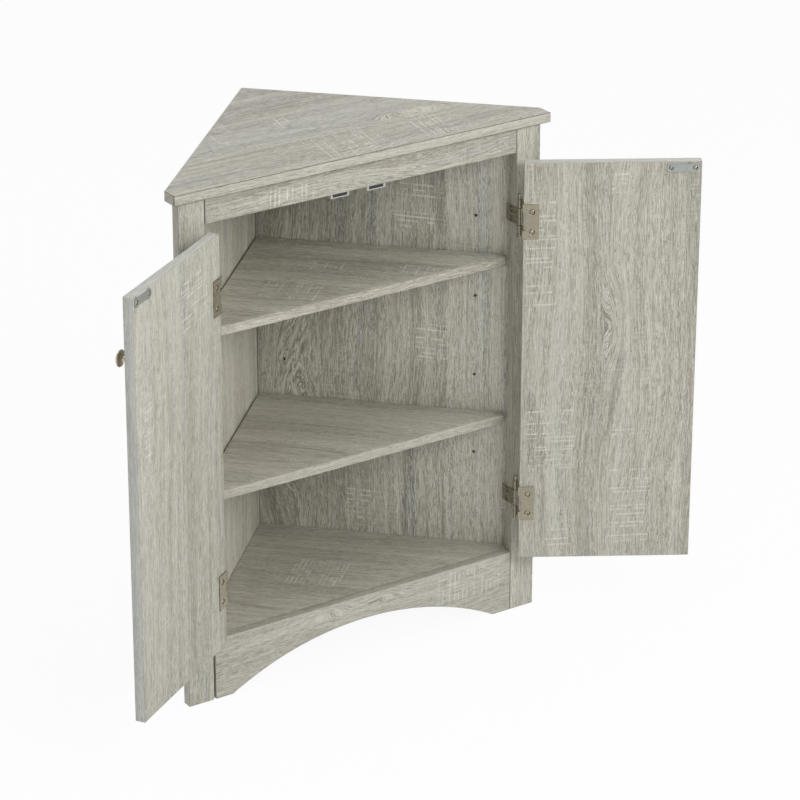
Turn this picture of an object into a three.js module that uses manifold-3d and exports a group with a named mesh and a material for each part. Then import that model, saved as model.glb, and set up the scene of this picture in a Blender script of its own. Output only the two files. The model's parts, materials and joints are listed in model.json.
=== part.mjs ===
import * as THREE from 'three';
import { mergeVertices, toCreasedNormals } from 'three/addons/utils/BufferGeometryUtils.js';
import Module from 'manifold-3d';

// Corner cupboard with two doors on wrap-round hinges and two adjustable shelves.
// Millimetres, +Z up, the front faces -Y. The origin is on the floor, in the middle of the back corner.

// Carcass
const cabinetHeight = 800;
const wallWidth = 434;
const wallThickness = 15;
const wallJointGap = 0.3;
const stileWidth = 42;
const stileThickness = 15;

// Top panel: a triangle whose two sharp front corners are clipped square to the front
const topThickness = 15;
const topSideOverhang = 16;
const topNose = 26;
const topBackOverhang = 9;

// Rail above the doors and arched apron below them
const railHeight = 40;
const railLeftGap = 1.6;
const railRightGap = 0.6;
const apronHeight = 98;
const apronLeftGap = 3.2;
const apronRightGap = 0.5;
const apronFootWidth = 32;
const archRise = 59.5;

// Shelves
const shelfThickness = 15;
const shelfSideGap = 3;
const shelfSetback = 8;
const bottomShelfSideGap = 0.6;
const bottomShelfNose = 4;
const shelfLift = 0.3;

// Shelf support holes: two groups of three heights, front and back on each wall
const lowestHoleHeight = 249.5;
const holePitch = 64;
const holesInGroup = 3;
const groupStep = (holesInGroup + 1) * holePitch;
const backHoleRun = 42;
const frontHoleSetback = 98;
const holeDepth = 9;

// Shelf support: a stud on a bent steel plate
const studRadius = 2.5;
const studLength = 8;
const studClearance = 0.15;
const supportWidth = 12;
const supportGauge = 1.4;
const supportTab = 13;
const supportRise = 8.75;
const supportCrown = 5;
const supportSeat = 0.3;

// Doors
const doorThickness = 15;
const doorHingeGap = 2.5;
const doorMeetingGap = 6;
const doorTopGap = 6;
const doorBottomGap = 4;
const rightDoorAngle = 148.5;
const leftDoorAngle = 147.2;

// Hinges: the pin stands in front of the stile, just outside its inner edge
const hingeInset = 91;
const hingeForward = 7.2;
const hingeOut = 1.8;
const barrelRadius = 3;
const knuckleWall = 1.4;
const knuckleGap = 1;
const leafGauge = 1.5;
const leafSeat = 0.3;
const frameLeafHeight = 26;
const frameLeafDepth = 22.4;
const doorLeafHeight = 55;
const doorLeafFlap = 22.4;
const nestClearance = 0.8;
const slitOnFace = 2.2;
const pinClearance = 0.1;
const finialRadius = 3;
const finialNeckRadius = 1.9;
const finialNeckLength = 1.6;
const finialShoulder = 0.8;

// Hinge screws
const frameScrewDepth = 10;
const frameScrewEnd = 5.7;
const doorScrewInset = 12.5;
const doorScrewEnd = 12;
const screwHeadRadius = 4.2;
const screwShankRadius = 1.75;
const screwLength = 12.5;
const screwTip = 2.5;
const screwClearance = 0.25;
const recessLength = 4.4;
const recessWidth = 0.9;
const recessDepth = 0.9;

// Knobs
const knobInset = 22;
const knobDrop = 100;
const knobRadius = 12.3;
const knobReach = 23;
const knobBaseRadius = 6.2;
const knobBaseHeight = 1.8;
const knobNeckRadius = 4;
const knobRimHeight = 17;
const knobRimWidth = 2;
const knobCapRadius = 9.4;
const knobStudRadius = 2;
const knobStudLength = 10;
const knobSeat = 0.3;

// Strike plates and magnetic catches
const strikeInset = 27.8;
const strikeDrop = 9.5;
const strikeHalfLength = 24.5;
const strikeHalfHeight = 5.8;
const strikeEndRadius = 7.5;
const strikeGauge = 1.2;
const strikeScrewSpacing = 35.5;
const strikeHeadRadius = 3.6;
const strikeShankRadius = 1.4;
const strikeScrewLength = 11;
const catchWidth = 31.4;
const catchDrop = 13.4;
const catchDepth = 8;
const catchEarHeight = 13;
const catchEarDepth = 5;
const catchAirGap = 0.3;
const catchPegRadius = 2;
const catchPegLength = 8;
const catchPegSpacing = 22;
const catchPegClearance = 0.15;
const magnetWidth = 24.4;
const magnetHeight = 5.6;
const magnetLip = 1.5;
const magnetDepth = 5.6;
const magnetRecess = 0.4;
const magnetClearance = 0.15;

// Facets
const holeSides = 14;
const screwSides = 16;
const barrelSides = 24;
const knobSides = 28;
const finialSteps = 5;
const archSteps = 28;
const endSteps = 6;
const overrun = 5;
const crease = 0.7;

// Sizes that follow from the ones above
const halfDiagonal = Math.SQRT1_2;
const outerCornerY = wallThickness * halfDiagonal;
const innerCornerY = -outerCornerY;
const frontHoleRun = wallWidth - frontHoleSetback;
const bodyHalfWidth = wallWidth * halfDiagonal;
const stileBackY = outerCornerY - bodyHalfWidth;
const frontY = stileBackY - stileThickness;
const openingHalfWidth = bodyHalfWidth - stileWidth;
const carcassHeight = cabinetHeight - topThickness;
const railBottom = carcassHeight - railHeight;
const topHalfWidth = (wallWidth + topSideOverhang) * halfDiagonal;
const topBackY = outerCornerY + topBackOverhang / halfDiagonal;
const doorBottom = apronHeight + doorBottomGap;
const doorTop = railBottom - doorTopGap;
const doorWidth = openingHalfWidth - doorHingeGap - doorMeetingGap / 2;
const hingeX = openingHalfWidth + hingeOut;
const hingeY = frontY - hingeForward;
const hingeHeights = { lower: doorBottom + hingeInset, upper: doorTop - hingeInset };
const doorEdge = hingeOut + doorHingeGap;
const doorInnerFace = hingeForward + doorThickness;
const leafFace = doorInnerFace + leafSeat + leafGauge;
const strikeFace = doorInnerFace + leafSeat + strikeGauge;
const pinBore = barrelRadius - knuckleWall;
const frameScrewSpacing = frameLeafHeight - 2 * frameScrewEnd;
const doorScrewSpacing = doorLeafHeight - 2 * doorScrewEnd;
const catchFrontY = hingeY + strikeFace + catchAirGap;
const catchCentre = doorMeetingGap / 2 + strikeInset;
const shelfHeights = {
  lower: lowestHoleHeight + holePitch - supportRise + shelfLift,
  upper: lowestHoleHeight + groupStep + holePitch - supportRise + shelfLift,
};

const wasm = await Module();
wasm.setup();

const finishes = {
  panel: new THREE.MeshStandardMaterial({ color: 0xb9b3a6, roughness: 0.6, metalness: 0 }),
  hinge: new THREE.MeshStandardMaterial({ color: 0x8f8573, roughness: 0.35, metalness: 1 }),
  screw: new THREE.MeshStandardMaterial({ color: 0xb4afa4, roughness: 0.3, metalness: 1 }),
  knob: new THREE.MeshStandardMaterial({ color: 0xa59f92, roughness: 0.2, metalness: 1 }),
  zinc: new THREE.MeshStandardMaterial({ color: 0xa4aaa8, roughness: 0.45, metalness: 1 }),
  plastic: new THREE.MeshStandardMaterial({ color: 0xc8c9cb, roughness: 0.5, metalness: 0 }),
  magnet: new THREE.MeshStandardMaterial({ color: 0x1c1d20, roughness: 0.6, metalness: 0 }),
};

const cupboard = new THREE.Group();

// Solids and geometry

function toSolid(geometry) {
  const bare = geometry.clone();
  bare.deleteAttribute('normal');
  bare.deleteAttribute('uv');
  const welded = mergeVertices(bare);
  const corners = [];
  for (let i = 0; i < welded.index.count; i += 3) {
    const [a, b, c] = [0, 1, 2].map((k) => welded.index.getX(i + k));
    if (a !== b && b !== c && c !== a) corners.push(a, b, c);
  }
  const vertProperties = new Float32Array(welded.attributes.position.array);
  return new wasm.Manifold(new wasm.Mesh({ numProp: 3, vertProperties, triVerts: new Uint32Array(corners) }));
}

function toGeometry(solid) {
  const mesh = solid.getMesh();
  const geometry = new THREE.BufferGeometry();
  geometry.setAttribute('position', new THREE.BufferAttribute(mesh.vertProperties, 3));
  geometry.setIndex(new THREE.BufferAttribute(mesh.triVerts, 1));
  return toCreasedNormals(geometry, crease);
}

function join(first, ...others) {
  const solid = others.reduce((sum, geometry) => sum.add(toSolid(geometry)), toSolid(first));
  return toGeometry(solid);
}

function cut(body, ...tools) {
  const solid = tools.reduce((rest, tool) => rest.subtract(toSolid(tool)), toSolid(body));
  return toGeometry(solid);
}

// A flat outline in X and Y, made `height` thick from z = base upwards
function slab(points, base, height) {
  const shape = new THREE.Shape(points.map(([x, y]) => new THREE.Vector2(x, y)));
  return extruded(shape, height).translate(0, 0, base);
}

function extruded(shape, depth, curveSegments = endSteps) {
  return new THREE.ExtrudeGeometry(shape, { depth, bevelEnabled: false, curveSegments });
}

// A box between two opposite corners, given in any order
function block([x0, y0, z0], [x1, y1, z1]) {
  const size = [x1 - x0, y1 - y0, z1 - z0].map(Math.abs);
  return new THREE.BoxGeometry(...size).translate((x0 + x1) / 2, (y0 + y1) / 2, (z0 + z1) / 2);
}

// A round bar along +Z from z = base
function bar(radius, base, length, sides) {
  const cylinder = new THREE.CylinderGeometry(radius, radius, length, sides);
  return cylinder.rotateX(Math.PI / 2).translate(0, 0, base + length / 2);
}

// A closed profile of [radius, height] pairs turned about the Z axis
function turned(profile, sides) {
  const points = profile.map(([radius, height]) => new THREE.Vector2(radius, height));
  return new THREE.LatheGeometry(points, sides).rotateX(Math.PI / 2);
}

// Turns a geometry whose axis is +Z so that its axis lies along the given direction
function aimed(geometry, direction) {
  const turn = new THREE.Quaternion().setFromUnitVectors(new THREE.Vector3(0, 0, 1), direction);
  return geometry.applyQuaternion(turn);
}

function piece(name, geometry, material, parent = cupboard) {
  const mesh = new THREE.Mesh(geometry, material);
  mesh.name = name;
  parent.add(mesh);
  return mesh;
}

// Carcass

// A point on a wall's inner face: run is measured from the inner corner, out is square to the face
function wallPoint(side, run, out) {
  return [side * (run - out) * halfDiagonal, innerCornerY - (run + out) * halfDiagonal];
}

function holeHeights() {
  const heights = [];
  for (const start of [lowestHoleHeight, lowestHoleHeight + groupStep]) {
    for (let i = 0; i < holesInGroup; i += 1) heights.push(start + i * holePitch);
  }
  return heights;
}

function wall(side) {
  const backEnd = side > 0 ? [[0, outerCornerY], [-outerCornerY, 0]] : leftWallEnd();
  const frontEnd = [[side * (-stileBackY + innerCornerY), stileBackY], [side * bodyHalfWidth, stileBackY]];
  const board = slab([...backEnd, ...frontEnd], 0, carcassHeight);
  const into = new THREE.Vector3(side, 1, 0).normalize();
  const holes = [backHoleRun, frontHoleRun].flatMap((run) => holeHeights().map((height) => {
    const tool = bar(studRadius + studClearance, -overrun, holeDepth + overrun, holeSides);
    return aimed(tool, into).translate(...wallPoint(side, run, 0), height);
  }));
  piece(side > 0 ? 'right_wall' : 'left_wall', cut(board, ...holes), finishes.panel);
}

// The left wall butts against the inner face of the right one
function leftWallEnd() {
  const shift = wallJointGap * halfDiagonal;
  return [[-outerCornerY - shift, -shift], [-shift, innerCornerY - shift]];
}

function stile(side) {
  const board = block([side * openingHalfWidth, frontY, 0], [side * bodyHalfWidth, stileBackY, carcassHeight]);
  const into = new THREE.Vector3(side, 0, 0);
  const holes = Object.values(hingeHeights).flatMap((centre) => [-1, 1].map((end) => {
    const tool = bar(screwShankRadius + screwClearance, -overrun, screwLength + overrun, screwSides);
    const height = centre + end * frameScrewSpacing / 2;
    return aimed(tool, into).translate(side * openingHalfWidth, frontY + frameScrewDepth, height);
  }));
  piece(side > 0 ? 'right_stile' : 'left_stile', cut(board, ...holes), finishes.panel);
}

function topPanel() {
  const sideY = topBackY - topHalfWidth;
  const outline = [
    [0, topBackY],
    [topHalfWidth, sideY],
    [topHalfWidth, sideY - topNose],
    [-topHalfWidth, sideY - topNose],
    [-topHalfWidth, sideY],
  ];
  piece('top_panel', slab(outline, carcassHeight, topThickness), finishes.panel);
}

function topRail() {
  const left = -openingHalfWidth + railLeftGap;
  const right = openingHalfWidth - railRightGap;
  const board = block([left, frontY, railBottom], [right, stileBackY, carcassHeight]);
  const holes = catchPegPlaces().map(([x, z]) => {
    const tool = bar(catchPegRadius + catchPegClearance, -overrun, catchPegLength + overrun, holeSides);
    return aimed(tool, new THREE.Vector3(0, -1, 0)).translate(x, stileBackY, z);
  });
  piece('top_rail', cut(board, ...holes), finishes.panel);
}

function bottomApron() {
  const left = -openingHalfWidth + apronLeftGap;
  const right = openingHalfWidth - apronRightGap;
  const halfSpan = openingHalfWidth - apronFootWidth;
  const radius = (halfSpan ** 2 + archRise ** 2) / (2 * archRise);
  const drop = radius - archRise;
  const spring = Math.atan2(drop, halfSpan);
  const shape = new THREE.Shape();
  shape.moveTo(left, 0);
  shape.lineTo(-halfSpan, 0);
  shape.absarc(0, -drop, radius, Math.PI - spring, spring, true);
  shape.lineTo(right, 0);
  shape.lineTo(right, apronHeight);
  shape.lineTo(left, apronHeight);
  const board = extruded(shape, stileThickness, archSteps).rotateX(Math.PI / 2).translate(0, stileBackY, 0);
  piece('bottom_apron', toGeometry(toSolid(board)), finishes.panel);
}

// Shelves

function shelfOutline(sideGap, faceY, halfWidth) {
  const backY = innerCornerY - sideGap / halfDiagonal;
  return [
    [0, backY],
    [halfWidth, backY - halfWidth],
    [halfWidth, faceY],
    [-halfWidth, faceY],
    [-halfWidth, backY - halfWidth],
  ];
}

function bottomShelf() {
  const reach = innerCornerY - bottomShelfSideGap / halfDiagonal - stileBackY;
  const outline = shelfOutline(bottomShelfSideGap, stileBackY, reach - bottomShelfNose);
  piece('bottom_shelf', slab(outline, apronHeight - shelfThickness, shelfThickness), finishes.panel);
}

function adjustableShelf(level) {
  const outline = shelfOutline(shelfSideGap, stileBackY + shelfSetback, openingHalfWidth);
  const board = slab(outline, shelfHeights[level], shelfThickness);
  piece(`${level}_shelf`, board, finishes.panel);
  for (const [place, run] of Object.entries({ back: backHoleRun, front: frontHoleRun })) {
    for (const side of [-1, 1]) shelfSupport(level, side, place, run);
  }
}

function shelfSupport(level, side, place, run) {
  const under = -supportRise - supportGauge;
  const profile = [
    [supportSeat, under],
    [supportSeat + supportTab, under],
    [supportSeat + supportTab, -supportRise],
    [supportSeat + supportGauge, -supportRise],
    [supportSeat + supportGauge, supportCrown],
    [supportSeat, supportCrown],
  ];
  const shape = new THREE.Shape(profile.map(([x, z]) => new THREE.Vector2(x, z)));
  const bracket = extruded(shape, supportWidth).rotateX(Math.PI / 2).translate(0, supportWidth / 2, 0);
  const stud = aimed(
    bar(studRadius, -supportSeat - supportGauge / 2, studLength + supportSeat + supportGauge / 2, holeSides),
    new THREE.Vector3(-1, 0, 0),
  );
  const holder = new THREE.Group();
  const axisHeight = shelfHeights[level] - shelfLift + supportRise;
  holder.position.set(...wallPoint(side, run, 0), axisHeight);
  holder.rotation.z = Math.atan2(-1, -side);
  cupboard.add(holder);
  const name = `${level}_shelf_support_${side > 0 ? 'right' : 'left'}_${place}`;
  piece(name, join(bracket, stud), finishes.zinc, holder);
}

// Fasteners

function crossHeadScrew(headRadius, headDepth, shankRadius, length) {
  const blank = turned([
    [0, -length],
    [shankRadius, screwTip - length],
    [shankRadius, -headDepth],
    [headRadius, 0],
    [0, 0],
  ], screwSides);
  const reach = recessLength / 2;
  const half = recessWidth / 2;
  const slots = [[reach, half], [half, reach]].map(([x, y]) => block([-x, -y, -recessDepth], [x, y, overrun]));
  return cut(blank, ...slots);
}

// The countersunk hole that such a screw needs in a plate, with its mouth at z = 0
function countersink(headRadius, gauge, shankRadius) {
  return turned([
    [0, -gauge - overrun],
    [shankRadius + screwClearance, -gauge - overrun],
    [shankRadius + screwClearance, -gauge],
    [headRadius + screwClearance, 0],
    [headRadius + screwClearance, overrun],
    [0, overrun],
  ], screwSides);
}

// Hinges, built about the pin: u runs from the pin towards the middle of the cupboard, y into it

function plan(side, points) {
  return points.map(([u, y]) => [-side * u, y]);
}

function ring(centre, height) {
  return bar(barrelRadius, centre - height / 2, height, barrelSides);
}

function pinHole(height) {
  return bar(pinBore, -height, 2 * height, barrelSides);
}

function frameLeaf(side) {
  const face = hingeOut + leafGauge;
  const back = hingeForward + frameLeafDepth;
  const outline = plan(side, [[hingeOut, 0], [face, 0], [face, back], [hingeOut, back]]);
  const plate = slab(outline, -frameLeafHeight / 2, frameLeafHeight);
  const sinks = [-1, 1].map((end) => {
    const sink = aimed(countersink(screwHeadRadius, leafGauge, screwShankRadius), new THREE.Vector3(-side, 0, 0));
    return sink.translate(-side * face, hingeForward + frameScrewDepth, end * frameScrewSpacing / 2);
  });
  return cut(join(plate, ring(0, frameLeafHeight)), pinHole(frameLeafHeight), ...sinks);
}

function doorLeaf(side) {
  const edgeFace = doorEdge - leafSeat;
  const outerEdge = edgeFace - leafGauge;
  const flapEnd = doorEdge + doorLeafFlap;
  const outline = plan(side, [
    [barrelRadius, 0],
    [edgeFace, hingeForward],
    [edgeFace, doorInnerFace + leafSeat],
    [flapEnd, doorInnerFace + leafSeat],
    [flapEnd, leafFace],
    [outerEdge, leafFace],
    [outerEdge, hingeForward],
    [pinBore, 0],
  ]);
  const plate = slab(outline, -doorLeafHeight / 2, doorLeafHeight);
  const nestHalf = frameLeafHeight / 2 + nestClearance;
  const nest = block([side * overrun, -overrun, -nestHalf], [-side * (doorEdge + slitOnFace), leafFace + overrun, nestHalf]);
  const knuckle = (doorLeafHeight - frameLeafHeight) / 2 - knuckleGap;
  const knuckles = [-1, 1].map((end) => ring(end * (doorLeafHeight - knuckle) / 2, knuckle));
  const sinks = [-1, 1].map((end) => {
    const sink = aimed(countersink(screwHeadRadius, leafGauge, screwShankRadius), new THREE.Vector3(0, 1, 0));
    return sink.translate(-side * (doorEdge + doorScrewInset), leafFace, end * doorScrewSpacing / 2);
  });
  return cut(join(cut(plate, nest), ...knuckles), pinHole(doorLeafHeight), ...sinks);
}

function hingePin() {
  const shoulder = doorLeafHeight / 2 + knuckleGap;
  const neckEnd = shoulder + finialShoulder + finialNeckLength;
  const start = Math.asin(finialNeckRadius / finialRadius);
  const ballCentre = neckEnd + finialRadius * Math.cos(start);
  const upper = [
    [pinBore - pinClearance, shoulder],
    [barrelRadius, shoulder],
    [barrelRadius, shoulder + finialShoulder],
    [finialNeckRadius, shoulder + finialShoulder],
  ];
  for (let i = 0; i <= finialSteps; i += 1) {
    const angle = start + (Math.PI - start) * i / finialSteps;
    const radius = i < finialSteps ? finialRadius * Math.sin(angle) : 0;
    upper.push([radius, ballCentre - finialRadius * Math.cos(angle)]);
  }
  const lower = upper.map(([radius, height]) => [radius, -height]).reverse();
  return toGeometry(toSolid(turned([...lower, ...upper], barrelSides)));
}

function hinge(side, level, doorGroup) {
  const label = `${side > 0 ? 'right' : 'left'}_${level}_hinge`;
  const height = hingeHeights[level];
  const fixed = new THREE.Group();
  fixed.position.set(side * hingeX, hingeY, height);
  cupboard.add(fixed);
  const swinging = new THREE.Group();
  swinging.position.set(0, 0, height);
  doorGroup.add(swinging);
  piece(`${label}_frame_leaf`, frameLeaf(side), finishes.hinge, fixed);
  piece(`${label}_pin`, hingePin(), finishes.hinge, fixed);
  piece(`${label}_door_leaf`, doorLeaf(side), finishes.hinge, swinging);
  [-1, 1].forEach((end, i) => {
    const frameScrew = crossHeadScrew(screwHeadRadius, leafGauge, screwShankRadius, screwLength);
    const frameMesh = piece(`${label}_frame_screw_${i + 1}`, frameScrew, finishes.screw, fixed);
    const frameHeight = end * frameScrewSpacing / 2;
    frameMesh.position.set(-side * (hingeOut + leafGauge), hingeForward + frameScrewDepth, frameHeight);
    frameMesh.rotation.y = -side * Math.PI / 2;
    const doorScrew = crossHeadScrew(screwHeadRadius, leafGauge, screwShankRadius, screwLength);
    const doorMesh = piece(`${label}_door_screw_${i + 1}`, doorScrew, finishes.screw, swinging);
    doorMesh.position.set(-side * (doorEdge + doorScrewInset), leafFace, end * doorScrewSpacing / 2);
    doorMesh.rotation.x = -Math.PI / 2;
  });
}

// Doors, in the frame of their hinge pins, where u and y are as for the hinges

function doorBoard(side) {
  const board = block(
    [-side * doorEdge, hingeForward, doorBottom],
    [-side * (doorEdge + doorWidth), doorInnerFace, doorTop],
  );
  const outwards = new THREE.Vector3(0, -1, 0);
  const inwards = new THREE.Vector3(0, 1, 0);
  const leafHoles = Object.values(hingeHeights).flatMap((centre) => [-1, 1].map((end) => {
    const tool = bar(screwShankRadius + screwClearance, -overrun, screwLength + overrun, screwSides);
    const height = centre + end * doorScrewSpacing / 2;
    return aimed(tool, outwards).translate(-side * (doorEdge + doorScrewInset), doorInnerFace, height);
  }));
  const strikeHoles = [-1, 1].map((end) => {
    const tool = bar(strikeShankRadius + screwClearance, -overrun, strikeScrewLength + overrun, screwSides);
    const u = doorEdge + doorWidth - strikeInset + end * strikeScrewSpacing / 2;
    return aimed(tool, outwards).translate(-side * u, doorInnerFace, doorTop - strikeDrop);
  });
  const knobHole = bar(knobStudRadius + screwClearance, -overrun, knobStudLength + overrun, screwSides);
  aimed(knobHole, inwards).translate(-side * knobPlace()[0], hingeForward, knobPlace()[1]);
  return cut(board, ...leafHoles, ...strikeHoles, knobHole);
}

function knobPlace() {
  return [doorEdge + doorWidth - knobInset, doorTop - knobDrop];
}

function knob() {
  const capHeight = knobRimHeight + knobRimWidth;
  return turned([
    [0, -knobStudLength],
    [knobStudRadius, -knobStudLength],
    [knobStudRadius, knobSeat],
    [knobBaseRadius, knobSeat],
    [knobBaseRadius, knobSeat + knobBaseHeight / 2],
    [knobNeckRadius, knobSeat + knobBaseHeight],
    [knobNeckRadius, (knobBaseHeight + knobRimHeight) / 2],
    [(knobNeckRadius + knobRadius) / 2, knobRimHeight - knobRimWidth],
    [knobRadius, knobRimHeight],
    [knobRadius, capHeight],
    [knobCapRadius, (capHeight + knobReach) / 2],
    [knobCapRadius / 2, knobReach - knobSeat],
    [0, knobReach],
  ], knobSides);
}

function strikePlate() {
  const centre = strikeHalfLength - strikeEndRadius;
  const turn = Math.asin(strikeHalfHeight / strikeEndRadius);
  const shape = new THREE.Shape();
  shape.absarc(centre, 0, strikeEndRadius, turn - Math.PI, Math.PI - turn, false);
  shape.absarc(-centre, 0, strikeEndRadius, turn, 2 * Math.PI - turn, false);
  const plate = extruded(shape, strikeGauge, 2 * endSteps).translate(0, 0, -strikeGauge);
  const sinks = [-1, 1].map((end) => {
    const sink = countersink(strikeHeadRadius, strikeGauge, strikeShankRadius);
    return sink.translate(end * strikeScrewSpacing / 2, 0, 0);
  });
  return cut(plate, ...sinks);
}

function door(side, openAngle) {
  const label = side > 0 ? 'right' : 'left';
  const group = new THREE.Group();
  group.position.set(side * hingeX, hingeY, 0);
  group.rotation.z = side * THREE.MathUtils.degToRad(openAngle);
  cupboard.add(group);
  piece(`${label}_door`, doorBoard(side), finishes.panel, group);
  const handle = piece(`${label}_knob`, toGeometry(toSolid(knob())), finishes.knob, group);
  handle.position.set(-side * knobPlace()[0], hingeForward, knobPlace()[1]);
  handle.rotation.x = Math.PI / 2;
  const strike = new THREE.Group();
  strike.position.set(-side * (doorEdge + doorWidth - strikeInset), strikeFace, doorTop - strikeDrop);
  strike.rotation.x = -Math.PI / 2;
  group.add(strike);
  piece(`${label}_strike_plate`, strikePlate(), finishes.zinc, strike);
  [-1, 1].forEach((end, i) => {
    const screw = crossHeadScrew(strikeHeadRadius, strikeGauge, strikeShankRadius, strikeScrewLength);
    const mesh = piece(`${label}_strike_screw_${i + 1}`, screw, finishes.screw, strike);
    mesh.position.x = end * strikeScrewSpacing / 2;
  });
  for (const level of Object.keys(hingeHeights)) hinge(side, level, group);
}

// Magnetic catches, pegged to the back of the rail

function catchPegPlaces() {
  const height = railBottom + catchEarHeight / 2;
  return [-1, 1].flatMap((side) => [-1, 1].map((end) => [side * catchCentre + end * catchPegSpacing / 2, height]));
}

function magneticCatch(side) {
  const label = side > 0 ? 'right' : 'left';
  const bottom = railBottom - catchDrop;
  const profile = [
    [catchFrontY, bottom],
    [catchFrontY + catchDepth, bottom],
    [catchFrontY + catchDepth, railBottom],
    [stileBackY + catchEarDepth, railBottom],
    [stileBackY + catchEarDepth, railBottom + catchEarHeight],
    [stileBackY, railBottom + catchEarHeight],
    [stileBackY, railBottom],
    [catchFrontY, railBottom],
  ];
  const shape = new THREE.Shape(profile.map(([y, z]) => new THREE.Vector2(y, z)));
  const left = side * catchCentre - catchWidth / 2;
  const body = extruded(shape, catchWidth).rotateX(Math.PI / 2).rotateZ(Math.PI / 2).translate(left, 0, 0);
  const pegs = catchPegPlaces().filter(([x]) => Math.sign(x) === side).map(([x, z]) => {
    const peg = bar(catchPegRadius, -catchEarDepth / 2, catchPegLength + catchEarDepth / 2, holeSides);
    return aimed(peg, new THREE.Vector3(0, -1, 0)).translate(x, stileBackY, z);
  });
  const magnetLow = bottom + magnetLip;
  const half = magnetWidth / 2;
  const room = block(
    [side * catchCentre - half - magnetClearance, catchFrontY - overrun, magnetLow - magnetClearance],
    [
      side * catchCentre + half + magnetClearance,
      catchFrontY + magnetRecess + magnetDepth + magnetClearance,
      magnetLow + magnetHeight + magnetClearance,
    ],
  );
  piece(`${label}_catch_housing`, cut(join(body, ...pegs), room), finishes.plastic);
  const magnet = block(
    [side * catchCentre - half, catchFrontY + magnetRecess, magnetLow],
    [side * catchCentre + half, catchFrontY + magnetRecess + magnetDepth, magnetLow + magnetHeight],
  );
  piece(`${label}_catch_magnet`, magnet, finishes.magnet);
}

topPanel();
for (const side of [-1, 1]) wall(side);
for (const side of [-1, 1]) stile(side);
topRail();
bottomApron();
bottomShelf();
for (const level of Object.keys(shelfHeights)) adjustableShelf(level);
door(-1, leftDoorAngle);
door(1, rightDoorAngle);
for (const side of [-1, 1]) magneticCatch(side);

export default cupboard;
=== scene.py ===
import json
import math

import bmesh
import bpy
import numpy as np
from mathutils import Matrix, Vector


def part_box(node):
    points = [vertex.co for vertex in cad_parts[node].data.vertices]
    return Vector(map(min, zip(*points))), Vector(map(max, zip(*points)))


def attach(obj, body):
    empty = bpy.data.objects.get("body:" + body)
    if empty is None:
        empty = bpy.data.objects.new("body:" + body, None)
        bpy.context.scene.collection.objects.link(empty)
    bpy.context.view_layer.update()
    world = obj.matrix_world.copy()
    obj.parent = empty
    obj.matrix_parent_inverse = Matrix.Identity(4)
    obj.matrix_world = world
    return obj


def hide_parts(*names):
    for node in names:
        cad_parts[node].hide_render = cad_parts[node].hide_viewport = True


# Corner cupboard in washed oak laminate, both doors open, seen from the front left and above.
# Metres, +Z up, the front faces -Y. Every piece lies where the CAD frame has it.

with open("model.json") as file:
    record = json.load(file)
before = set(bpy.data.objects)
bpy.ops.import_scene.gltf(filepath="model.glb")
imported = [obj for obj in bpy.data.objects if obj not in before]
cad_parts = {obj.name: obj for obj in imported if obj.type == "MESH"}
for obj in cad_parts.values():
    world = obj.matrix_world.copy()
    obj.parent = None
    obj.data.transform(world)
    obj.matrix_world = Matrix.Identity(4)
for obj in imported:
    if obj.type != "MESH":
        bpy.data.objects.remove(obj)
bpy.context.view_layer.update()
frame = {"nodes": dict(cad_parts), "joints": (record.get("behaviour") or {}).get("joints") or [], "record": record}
mm = 0.001
onPlane = 0.01 * mm  # points this close to a plane lie on it
bodyOf = {node: body for body, nodes in frame["record"]["behaviour"]["bodies"].items() for node in nodes}
print("frame loaded:", len(frame["nodes"]), "nodes")


# Shader maths

class Val:
    # A socket that takes part in Python sums: each operator adds a Math node.

    def __init__(self, tree, socket):
        self.tree = tree
        self.socket = socket

    def math(self, operation, *others, clamp=False):
        settings = {"operation": operation, "use_clamp": clamp}
        return Graph(self.tree).node("ShaderNodeMath", settings, [self, *others])

    def __add__(self, other):
        return self.math("ADD", other)

    def __radd__(self, other):
        return self.math("ADD", other)

    def __sub__(self, other):
        return self.math("SUBTRACT", other)

    def __rsub__(self, other):
        return Graph(self.tree).node("ShaderNodeMath", {"operation": "SUBTRACT"}, [other, self])

    def __mul__(self, other):
        return self.math("MULTIPLY", other)

    def __rmul__(self, other):
        return self.math("MULTIPLY", other)

    def __truediv__(self, other):
        return self.math("DIVIDE", other)

    def __pow__(self, other):
        return self.math("POWER", other)

    def clamped(self, gain):  # gain times the value, held between 0 and 1
        return self.math("MULTIPLY", gain, clamp=True)

    def step(self, low, high):  # 0 at low, 1 at high, smooth between them; low may be the larger
        settings = {"interpolation_type": "SMOOTHSTEP"}
        return Graph(self.tree).node("ShaderNodeMapRange", settings, {0: self, 1: low, 2: high})


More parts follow.
